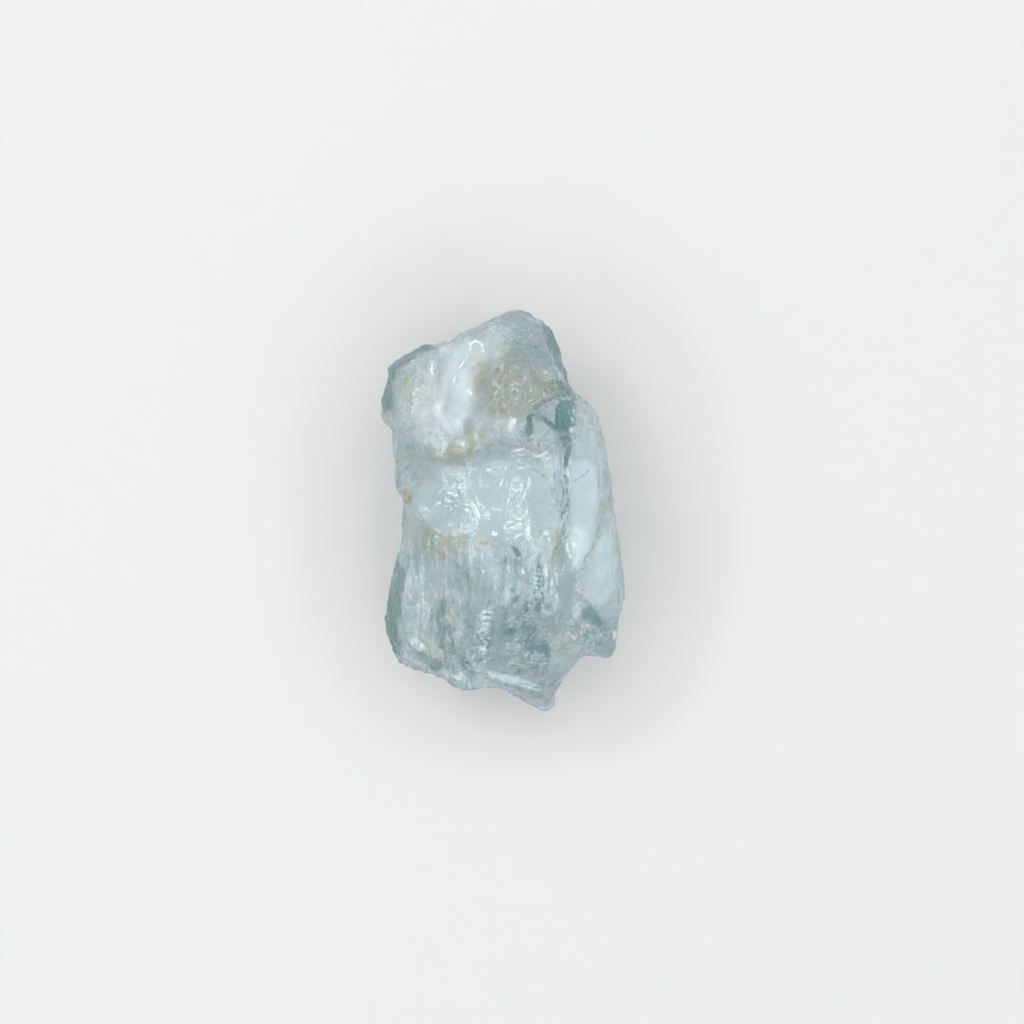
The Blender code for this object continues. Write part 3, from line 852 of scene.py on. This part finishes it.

# %% [markdown]
# Worn beryl looks white, because its skin scatters light. Wide soft areas make milky faces, and
# on the smooth middle, pane and lip that milk is painted sheen. Small crisp ones are painted
# highlights, the patches that shine. A third mask says which faces broke last: they look bluer.

# %% Milky faces, painted sheen and highlights, and fresh faces
MILK_AND_SHEEN = {
    "lobe, brightest": (0.5, "-63,164 30,9 26,-4 -14,-34 -9,-36 -9,-22 -18,-2 -12,24 6,32"),
    "lobe": (0.25, "-99,143 21,16 15,7 35,10 25,-5 -2,-22 -18,-16 -2,-32 18,-26 -26,-20 -45,4 "
        "-19,22 -6,30"),
    "brow": (0.34, "-48,166 45,20 15,-15 -10,-20 -30,-10"),
    "under the stain": (0.22, "-13,91 30,-4 2,-20 -22,2 -12,6"),
    # On the middle, the pane and the lip this milk is painted sheen.
    "middle": (0.22, "-98,31 35,14 40,11 50,0 32,-7 0,-73 -14,-55 -43,-10 -35,40 -40,32 -25,20"),
    "pane": (0.54, "65,51 17,5 13,-11 4,-22 -2,-21 -4,-19 -6,-17 -7,-15 -10,-7 -7,15 -2,22 4,30"),
    "pane, upper": (0.34, "72,103 15,-7 10,-30 2,-30 -36,0 3,35"),
    "lip": (0.54, "-111,-144 18,-5 30,-12 30,-14 30,-8 30,-12 15,-6 -25,12 -50,20 -40,16"),
    "lower left": (0.14, "-99,-64 36,15 30,-40 8,-50 -18,-18 -40,13 -18,15"),
    "right side": (0.4, "87,-29 22,20 8,-40 -8,-40 -16,-10 -16,20"),
}
# Painted highlights: small bright facets and glints.
PAINTED_HIGHLIGHTS = {
    "drop": (0.62, "6,91 7,0 -1,-10 -3,-5 -4,2"),
    "notch facet": (0.3, "29,88 9,-1 9,-5 6,-9 -1,-8 -11,0 -11,6"),
    "notch strip": (0.4, "48,103 5,6 -1,-12 -1,-13 -4,3"),
    "wing": (0.28, "-15,43 10,1 9,1 -1,-8 -6,-6 -6,-1 -4,5"),
    "wing low": (0.26, "-15,28 5,-5 5,-10 -6,1 -5,7"),
    "inside the loop": (0.28, "8,23 3,10 5,4 2,-10 -1,-8 -8,-1"),
    "below the loop": (0.24, "1,5 8,2 9,-1 -1,-10 -10,-3 -10,-3 -5,7"),
    "wedge": (0.26, "-13,-26 6,7 1,-9"),
    "triangle": (0.3, "-43,28 9,5 9,-2 -6,-9 -8,-4"),
    "arc": (0.4, "-36,10 8,-6 4,-9 -2,-11 -5,3 3,10 -4,6"),
    "arc middle": (0.36, "-39,1 6,-4 2,-7 -4,1"),
    "blade": (0.7, "-15,-160 17,-1 15,-6 16,-8 5,-5 -13,2 -13,4 -15,4 -10,4"),
    "corner facet": (0.3, "69,-85 10,-2 3,-14 -9,-6 -5,10"),
    "white at the lip": (0.55, "-84,-131 7,-3 2,-7 -7,2"),
    "white at the lip two": (0.4, "-95,-126 8,1 2,-7 -8,-2"),
    "glint": (0.85, "81,85 7,0 -1,-4 -5,0"),
    "white at the edge": (0.9, "108,-120 4,0 1,-7 -4,-1"),
    "white of the block": (0.7, "68,-123 4,0 0,-4 -4,0"),
    "waist white": (0.55, "-94,-37 4,2 0,-8 -3,-1"),
    "knob white": (0.5, "-72,149 5,0 0,-10 -6,0"),
    "knob white two": (0.5, "-66,109 5,0 -4,-10 -5,-3"),
    "knob white three": (0.4, "-78,86 6,0 -1,-6 -6,-1"),
    "lobe white": (0.4, "-37,123 6,-2 0,-9 -5,1"),
}
FRESH_FACES = {
    "middle": (1.0, "-88,31 25,14 40,14 50,0 32,-10 0,-73 -14,-55 -43,-20 -35,50 -40,32 -25,20"),
    "pane": (1.0, "72,103 15,-7 16,-35 16,-30 -2,-120 -24,0 -23,33 -7,15 -2,22 4,30 0,30 4,30"),
    "notch facet": (1.0, "27,91 11,-2 15,-8 4,-16 -16,-2 -14,8"),
    "blade": (1.0, "-17,-157 19,-2 35,-14 5,-10 -17,2 -38,12"),
}
MILK_SOFT, HIGHLIGHT_SOFT, FRESH_SOFT = 0.45, 0.12, 0.3
MILK_ALL_OVER = 0.1

milk_sheen_and_highlights = MILK_ALL_OVER + np.maximum(strongest(MILK_AND_SHEEN, MILK_SOFT), strongest(PAINTED_HIGHLIGHTS, HIGHLIGHT_SOFT))
fresh = strongest(FRESH_FACES, FRESH_SOFT)
tell("milk_sheen_and_highlights", milk_sheen_and_highlights, 0.3)

# %% [markdown]
# Bruises are the whitest marks: knocks, and painted glints on the crests of single ripples, the
# loops, the needles and the spine. The faint lines are painted glints too. The ragged waves break
# their lines up, so that none looks ruled.

# %% Bruises and painted glints
# Knocks and painted glints.
BRUISES_AND_GLINTS = {
    "loop": "-17,152 -4,13 -6,4 -6,-3 -2,-13 -6,-10 -5,-10 -4,-10",
    "loop again": "-18,154 -4,10 -5,4 -5,-3 -2,-11",
    "nick": "-70,143 1,-7",
    "nick above": "-93,150 6,0",
    "band line": "43,181 3,-15 4,-17 6,-18",
    "speck": "-88,117 2,-3",
    "needle one": "8,58 6,1 6,3",
    "needle two": "31,53 6,1 6,3",
    "spot": "24,44 2,0",
    "white dot": "20,88 2,0",
    "pane foot light": "62,-29 1,-9 3,-7",
    "speck two": "-33,117 3,-4",
}
# Painted glints, fainter.
FAINT_GLINTS = {
    "spine light": "66,59 -1,-18 1,-17 -3,-16 -2,-15",
    "spine light low": "65,-13 -2,-8 -5,-8",
    "striped light": "42,-55 -1,-8",
    "striped light two": "43,-71 -1,-10",
    "striped light three": "48,-67 0,-18 -5,-4",
    "striped light four": "53,-63 0,-26",
    "lip line": "-108,-151 15,-6 20,-6",
    "hollow arc": "-33,8 6,-4 4,-9 -3,-9",
    "hollow light": "-43,35 8,-4 4,4",
    "scoop light": "-14,41 8,2 10,0",
    "loop left": "4,6 2,11 4,12 5,8",
    "loop right": "15,4 2,13 1,14",
    "loop outer left": "-2,24 3,9 3,8",
    "loop outer right": "19,8 4,11 4,14",
    "loop foot": "2,-14 7,4 10,2",
    "loop foot low": "5,-17 6,3 7,1",
    "loop foot lowest": "11,-26 5,2 5,1",
    "arc one": "-37,2 5,-2 3,-6 -2,-7",
}
BRUISE_AND_GLINT_WIDTH, FAINT_GLINT_WIDTH = 0.117, 0.09
BRUISE_AND_GLINT, FAINT_GLINT = 0.92, 0.95

glints_and_bruises = traces(BRUISES_AND_GLINTS, BRUISE_AND_GLINT_WIDTH) * np.clip(0.9 + 0.6 * ragged, 0.2, 1)
fainter_glints = FAINT_GLINT * traces(FAINT_GLINTS, FAINT_GLINT_WIDTH) * np.clip(0.7 + 0.8 * ragged, 0.05, 1)
glints_and_bruises = BRUISE_AND_GLINT * np.maximum(glints_and_bruises, fainter_glints)
print("bruises and faint lines:", len(BRUISES_AND_GLINTS) + len(FAINT_GLINTS))

# %% [markdown]
# Frost is the sum of all that is white: milk in wisps, painted highlights on the crests of ripples
# and streaks, painted reflection in veins with air in them, paler flakes and the rough underside.
# Bruises, painted glints and the painted highlights of lifted slivers lie on top.

# %% Frost and painted highlights
MILK_UNDER = 0.42
# Crests and streak highs get painted highlights, and veins with air a painted reflection.
CREST_HIGHLIGHT, STREAK_HIGHLIGHT, VEIN_REFLECTION, FLAKE_MILK = 0.25, 0.12, 0.12, 0.3
MOST_FROST = 1.2

wisps = 0.22 * waves((0.5, 1.0, 0.7), 51, -25) + 0.14 * waves((0.17, 0.34, 0.3), 53, -25)
wisps = 0.8 + wisps * even
crest_highlights = rise(ripples, 0.004, 0.016)
frost_and_highlights = milk_sheen_and_highlights * np.clip(wisps, 0, MOST_FROST)
frost_and_highlights += CREST_HIGHLIGHT * crest_highlights + STREAK_HIGHLIGHT * streaked * rise(streaks, 0.2, 0.8)
frost_and_highlights += VEIN_REFLECTION * pale_veins * even + FLAKE_MILK * np.clip(flake_tone, 0, 1)
frost_and_highlights += MILK_UNDER * rise(-facings[:, 2], 0.5, 0.95)
frost_and_highlights = np.maximum(frost_and_highlights, np.maximum(glints_and_bruises, strokes["pale"]))
frost_and_highlights = np.clip(frost_and_highlights, 0, 1)
tell("frost_and_highlights", frost_and_highlights)

# %% [markdown]
# Where the glass turns light aside it looks a deeper blue-green, and this is painted shade: in the
# notch, in the bottom hollow and along the rims. The soft areas are painted shade on the glass and
# the sharp ones single dark facets of painted shade. Both go down the steep walls too, because a
# rim is darkest at its edge.

# %% Places of painted shade
# Painted shade: each area darkens glass and skin where the stone turns light aside.
PAINTED_SHADE_AREAS = {
    "over the notch": (0.55, "41,127 10,3 12,-6 9,-6 -3,-7 -14,2 -10,1 -10,-7 -8,-8 -5,-5 4,11 "
        "9,10"),
    "below the notch": (0.4, "60,71 6,0 0,-12 -3,-12 -3,9"),
    "right of the crown": (0.16, "-3,201 30,0 15,-15 3,-15 -8,-22 -14,10 -14,7 -14,10"),
    "crown edge": (0.38, "-8,203 25,2 25,-6 11,-13 -11,1 -25,8 -22,-2"),
    "knob rim": (0.92, "-120,145 13,14 6,-4 -4,-14 -2,-14 0,-12 0,-16 -13,0 -3,24"),
    "knob top": (1.05, "-116,137 4,14 9,10 12,5 16,0 9,-5 -13,-7 -13,-5 -9,-7 -7,-10"),
    "middle of the lower face": (0.3, "-3,-45 28,4 6,-52 -26,-10 -14,14"),
    "lower left rim": (1.2, "-119,-53 13,6 9,-15 -3,-25 -5,-24 -1,-33 -11,5 -10,30 2,30"),
    "upper left rim": (0.35, "-111,81 8,-2 2,-38 -6,-10 -6,20"),
    "waist rim": (0.55, "-101,6 8,-3 -4,-32 -6,-25 -6,5 4,30"),
    "bottom hollow": (0.3, "-9,-103 26,14 26,-2 10,-20 -3,-28 -8,-20 -20,-4 -20,6 -11,13 -5,23"),
    "bottom left": (0.3, "-63,-79 30,-10 14,-15 -4,-35 -10,-18 -25,13 -9,25"),
    "block": (0.45, "80,-89 15,-4 12,-14 12,-7 -2,-25 -20,-5 -15,15 -7,20"),
    "block corner": (0.95, "78,-94 7,3 8,-7 6,-13 -2,-6 -12,5 -7,9"),
    "lip dark": (0.55, "-75,-149 10,3 6,-7 -4,-6 -10,1"),
    "lip dark two": (0.45, "-44,-141 7,-1 2,-15 -7,-2"),
    "block point": (0.5, "108,-111 11,22 2,-25 -8,-15"),
    "right rim": (0.3, "97,81 12,-40 8,-50 4,-50 -6,-5 -6,55 -8,50"),
    "beside the spine": (0.55, "53,-19 5,-2 0,-13 1,-15 2,-8 -6,2 -4,14 -1,14"),
    "streak one": (0.35, "-45,-51 12,-10 18,-16 -2,-6 -18,12 -12,14"),
    "left edge streak": (0.4, "-93,-81 9,0 1,-38 -9,-4"),
    "chain at the lip": (0.45, "-89,-137 10,-3 8,-5 -4,-4 -10,4"),
    "left waist": (0.45, "-99,-35 5,1 1,-13 -6,-4"),
}
# Painted shade on single dark facets, with crisp borders.
SHARP_PAINTED_SHADE = {
    "notch": (1.15, "54,109 11,-1 3,-12 -3,-9 -2,-10 -7,1 -4,6 0,12 2,7"),
    "notch slant": (0.85, "37,92 7,-3 7,-4 5,-4 -1,-5 -6,5 -8,5"),
    "left of the notch": (0.8, "22,90 6,2 1,-18 -5,-1 -3,8"),
    "arc over the notch": (0.85, "43,124 6,4 8,-1 5,-5 -9,-1 -7,1"),
    "brow of the notch": (0.65, "27,98 8,6 7,6 10,5 11,0 -2,-4 -11,-1 -9,-5 -10,-8"),
    "foot of the notch": (0.85, "55,73 7,1 1,-9 -5,-2"),
    "band": (1.0, "40,189 13,-4 11,-24 7,-22 5,-20 -10,2 -10,16 -9,20 -7,17"),
    "crumb one": (1.0, "61,120 3,-1 3,-5 -3,-1"),
    "crumb two": (1.0, "68,110 3,-1 -1,-6 -2,1"),
    "crumb three": (0.9, "64,61 3,1 -1,-7 -3,-1"),
    "crumb four": (0.9, "62,52 3,0 -1,-9 -3,1"),
    "dark of the hollow": (0.75, "38,-130 6,1 1,-11 -5,-2"),
    "hollow spot": (0.6, "0,-116 10,-2 -1,-5 -8,1"),
    "hollow spot two": (0.55, "18,-91 6,2 1,-10 -6,-2"),
    "hollow spot three": (0.5, "28,-122 10,-3 0,-10 -8,1"),
    "tip edge": (0.22, "43,-179 10,22 16,16 10,-4 -16,-16 -9,-18 -3,-20 -9,4"),
    "striped band": (0.25, "32,-49 5,0 0,-46 -5,2"),
    "crack end": (1.0, "9,-33 5,-3 4,-6 -3,-2 -5,6"),
    "arch left leg": (0.55, "-54,-109 3,-2 -6,-12 -3,-14 -3,0 3,16"),
    "arch right leg": (0.5, "-53,-109 4,-10 2,-15 -4,5 -3,12"),
}
SHADE_SOFT, SHARP_SOFT = 0.2, 0.07

uneven = np.clip(0.85 + 0.35 * waves((0.5, 0.8, 0.7), 61), 0, 1.1)
painted_shade = strongest(PAINTED_SHADE_AREAS, SHADE_SOFT, with_walls) * uneven
painted_shade = np.maximum(painted_shade, strongest(SHARP_PAINTED_SHADE, SHARP_SOFT, with_walls))
print("deeper places:", len(PAINTED_SHADE_AREAS) + len(SHARP_PAINTED_SHADE))

# %% [markdown]
# The masks that made the relief give the rest: painted shade on steep walls, in ripple troughs and
# streak hollows, on dark veins and flake borders, darker flakes at random, and painted shade in
# each groove, pit and gap of a lost sliver, just where it was cut. The frost gives way to it.

# %% Painted shade from the relief
# How much painted shade each part of the relief gives.
STEEP_SHADE = 0.35
TROUGH_SHADE, STREAK_SHADE, VEIN_DARK = 0.4, 0.2, 0.3
FLAKE_DEPTH, BORDER_SHADE = 0.2, 0.2
CRACK_DARK, PIT_DARK, STROKE_DARK = 0.9, 0.8, 0.9
FROST_LOST = 0.6

steep = rise(1 - np.abs(facings[:, 2]), 0.35, 0.95)
troughs = rise(-ripples, 0.01, 0.022)
painted_shade += STEEP_SHADE * steep
painted_shade += TROUGH_SHADE * troughs + STREAK_SHADE * streaked * rise(-streaks, 0.2, 0.8)
painted_shade += VEIN_DARK * dark_veins * even
painted_shade += FLAKE_DEPTH * np.clip(-flake_tone, 0, 1) + BORDER_SHADE * flake_border
painted_shade = np.maximum(painted_shade, CRACK_DARK * clean_cracks)
painted_shade += PIT_DARK * pits + STROKE_DARK * strokes["dark"]
painted_shade = np.clip(painted_shade, 0, 1)
frost_and_highlights *= 1 - FROST_LOST * painted_shade
tell("deeper colour", painted_shade)

# %% [markdown]
# The finest lines are thinner than the gaps of the net, so the shader draws them. Masks say where:
# fibres down the streaked face, bars across the rippled columns, and specks on pecked skin.

# %% Places of the finest lines
BARRED = (
    ((-0.75, -5.1), (0.26, 0.5), 0, 1.6),  # middle, reach, turn and strength
    ((-0.85, -6.7), (0.34, 1.05), -8, 1.6),
    ((-2.45, 1), (0.42, 1.1), 0, 1),
    ((0.65, 1.3), (0.28, 0.5), -10, 0.8),
    ((0.5, -0.7), (0.45, 0.5), 0, 0.7),
    ((1.72, -3.6), (0.22, 1.3), 0, 1),
    ((3.05, 0.4), (0.16, 2.4), -3, 0.9),
    ((1.3, 2.6), (0.9, 0.25), 20, 0.9),
    ((1.1, -7.2), (1.2, 0.7), 0, 0.7),
)
SPECKLED = (
    ((0.6, 9), (1.5, 0.75), -15, 0.8),
    ((3.4, 4.6), (0.25, 1.9), 5, 1),
    ((1.3, -6.2), (1.4, 1.5), 0, 0.6),
    ((3.4, -6.2), (1.3, 1.1), 0, 0.7),
)
FIBRE_STRENGTH = 0.24

fibres = FIBRE_STRENGTH * streaked * even * rise(waves((0.9, 1.5, 1.0), 27), -0.3, 0.5)
bars, speckle = patches(BARRED), patches(SPECKLED)
tell("bars", bars)

# %% [markdown]
# A mask reaches the shader as an attribute, a number that the mesh keeps for each corner. It needs
# no picture and no unwrapping.

# %% Attributes
masks = dict(iron=iron, frost_and_highlights=frost_and_highlights, painted_shade=painted_shade, under=under)
masks |= dict(fibres=fibres, bars=bars, speckle=speckle, fresh=fresh)
for name, values in masks.items():
    layer = fine.attributes.new(name, "FLOAT", "POINT")
    layer.data.foreach_set("value", values.astype(np.float32))
print("masks for the finish:", len(masks))

# %% [markdown]
# ## The body of the stone
#
# Aquamarine is clear, so its colour isn't on its surface: light loses red on its way through. That
# is what Volume Absorption does, and it makes the thick middle bluer than the thin edges. The glass
# shader has plain numbers for transmission and IOR. A dull second shader is the skin, with frost,
# film, painted highlights and painted shade, and the masks say how much of it lies on the glass.

# %% Colours of the clear blue beryl
BERYL_IOR = 1.58
BODY_COLOUR = (0.28, 0.72, 0.82, 1)
BODY_DENSITY = 17.0  # to the metre
CLEAR = (1.0, 1.0, 1.0, 1)
# The next two colours are painted shade: the dark blue-green where light is turned aside, on glass
# and on skin.
SHADED_GLASS = (0.28, 0.455, 0.475, 1)
SHADED_SKIN = (0.13, 0.24, 0.253, 1)
IRON_GLASS = (0.75, 0.76, 0.55, 1)
IRON_PALE = (0.48, 0.46, 0.32, 1)
IRON_DARK = (0.13, 0.11, 0.06, 1)
# The frost colour serves worn frost and painted highlights alike.
FROST_AND_HIGHLIGHT_COLOUR = (0.8, 0.885, 0.905, 1)
FRESH = (0.74, 0.865, 0.93, 1)
# A painted highlight, for the brightest glints.
SPARK = (0.96, 0.975, 0.98, 1)

beryl = bpy.data.materials.new("aquamarine")
look = blank_tree(beryl)


def mask(name):
    """One of the stone's masks, read by the shader."""
    return look.node("Attribute", {"attribute_name": name}, outlet=2)


film, bloom_and_highlights, shade_mask, beneath = mask("iron"), mask("frost_and_highlights"), mask("painted_shade"), mask("under")
print("beryl bends light by:", BERYL_IOR)

# %% [markdown]
# The finest lines are a noise that a Mapping node squeezes until it is lines. Its high places get
# a painted highlight and its low ones painted shade, and it goes to a bump too, so that each line
# catches the lamps.

# %% Finest lines
FIBRES = (7500.0, 1500.0, 2500.0)  # lines to the metre along X, Y and Z
BARS = (1500.0, 9500.0, 4000.0)
SPECKS = (6500.0, 6500.0, 6500.0)
FIBRE_TURN, BAR_TURN = 6, 8  # degrees
# The pale lines are painted highlights and the dark lines painted shade.
PALE_LINE, DARK_LINE = 0.5, 0.48
PALE_SHARE = ((0.56, 0), (0.68, 1))  # stops of the ramps that pick the pale and the dark lines
DARK_SHARE = ((0.32, 1), (0.44, 0))

object_place = look.node("TexCoord", outlet=3)


def fine_lines(per_metre, turn=0.0):
    """A noise stretched into fine lines, so many to the metre along X, Y and Z."""
    twist = (0, 0, math.radians(turn))
    turned = look.node("Mapping", Vector=object_place, Rotation=twist, Scale=per_metre)
    return look.node("TexNoise", Vector=turned, Scale=1.0, Detail=3.0)


finest = [
    (mask("fibres"), fine_lines(FIBRES, FIBRE_TURN)),
    (mask("bars"), fine_lines(BARS, BAR_TURN)),
    (mask("speckle"), fine_lines(SPECKS)),
]
relief = 0.0
for where, lines in finest:
    bloom_and_highlights = bloom_and_highlights + where * PALE_LINE * lines.steps(*PALE_SHARE)
    shade_mask = shade_mask + where * DARK_LINE * lines.steps(*DARK_SHARE)
    relief = where * lines + relief
print("kinds of finest lines:", len(finest))

# %% [markdown]
# A fresh break is as smooth as polished glass. Film, frost with its painted highlights, and
# scratches take the polish off, and the underside is the dullest. Two bumps come on top: a faint
# ripple all over and the finest lines.

# %% Polish and bumps
RIPPLE_SCALE, SCRATCH_SCALE = 5200.0, 1800.0  # to the metre
POLISH = 0.02
FILM_ROUGH, BLOOM_ROUGH, SCRATCH_ROUGH, UNDER_ROUGH = 0.2, 0.08, 0.06, 0.22
RIPPLE_BUMP, LINE_BUMP = (0.25, 0.02), (0.6, 0.03)  # strength, and height in mm


def bump(strength, tall, **inlets):
    """A Bump node whose height is given in millimetres."""
    return look.node("Bump", Strength=strength, Distance=tall * MM, **inlets)


ripple = look.node("TexNoise", Vector=object_place, Scale=RIPPLE_SCALE, Detail=2.0)
scratch = look.node("TexNoise", Vector=object_place, Scale=SCRATCH_SCALE, Detail=2.0)
rough = POLISH + FILM_ROUGH * film + BLOOM_ROUGH * bloom_and_highlights + SCRATCH_ROUGH * scratch
rough = rough + UNDER_ROUGH * beneath
grained = bump(*RIPPLE_BUMP, Height=ripple)
micro = bump(*LINE_BUMP, Height=relief, Normal=grained)
print("roughness from:", POLISH)

# %% [markdown]
# The glass is tinted only where shade is painted or it is stained. The skin goes from frost to a
# painted bright spark where frost and painted highlights are thickest and to a painted blue-green
# shade where the light is lost, and over both lies the iron, pale where thin and brown where thick.

# %% Glass, skin and body
SPARK_FROM = ((0.6, 0), (0.95, 1))  # stops of ramps, on the bloom
SHADE_FROM = ((0.25, 0), (0.8, 1))  # on the depth
DULL_FROM = ((0.3, 0), (1.0, 1))
STAINED_FROM = ((0.0, 0), (0.3, 1))  # on the film
AGED_FROM = ((0.35, 0), (0.85, 1))
SKIN_ROUGH = 0.6
FILM_COVER, SHADE_COVER = 0.45, 0.35

glass = look.node(
    "BsdfPrincipled",
    Base_Color=film.mix(shade_mask.mix(CLEAR, SHADED_GLASS), IRON_GLASS),
    Roughness=rough,
    IOR=BERYL_IOR,
    Transmission_Weight=1.0,
    Normal=micro,
)
white = bloom_and_highlights.steps(*SPARK_FROM).mix(mask("fresh").mix(FROST_AND_HIGHLIGHT_COLOUR, FRESH), SPARK)
bare = shade_mask.steps(*SHADE_FROM).mix(white, SHADED_SKIN)
rust = film.steps(*AGED_FROM).mix(IRON_PALE, IRON_DARK)
skin_colour = film.steps(*STAINED_FROM).mix(bare, rust)
skin = look.node("BsdfPrincipled", Base_Color=skin_colour, Roughness=SKIN_ROUGH, Normal=micro)
covered = FILM_COVER * film + bloom_and_highlights + SHADE_COVER * shade_mask.steps(*DULL_FROM)
surface = look.node("MixShader", _0=covered, _1=glass, _2=skin)
body = look.node("VolumeAbsorption", Color=BODY_COLOUR, Density=BODY_DENSITY)
look.node("OutputMaterial", _0=surface, _1=body)
stone.data.materials.clear()
stone.data.materials.append(beryl)
print("nodes in the finish:", len(beryl.node_tree.nodes))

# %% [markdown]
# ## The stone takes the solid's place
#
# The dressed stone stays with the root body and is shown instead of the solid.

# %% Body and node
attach(stone, "root")
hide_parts("crystal")
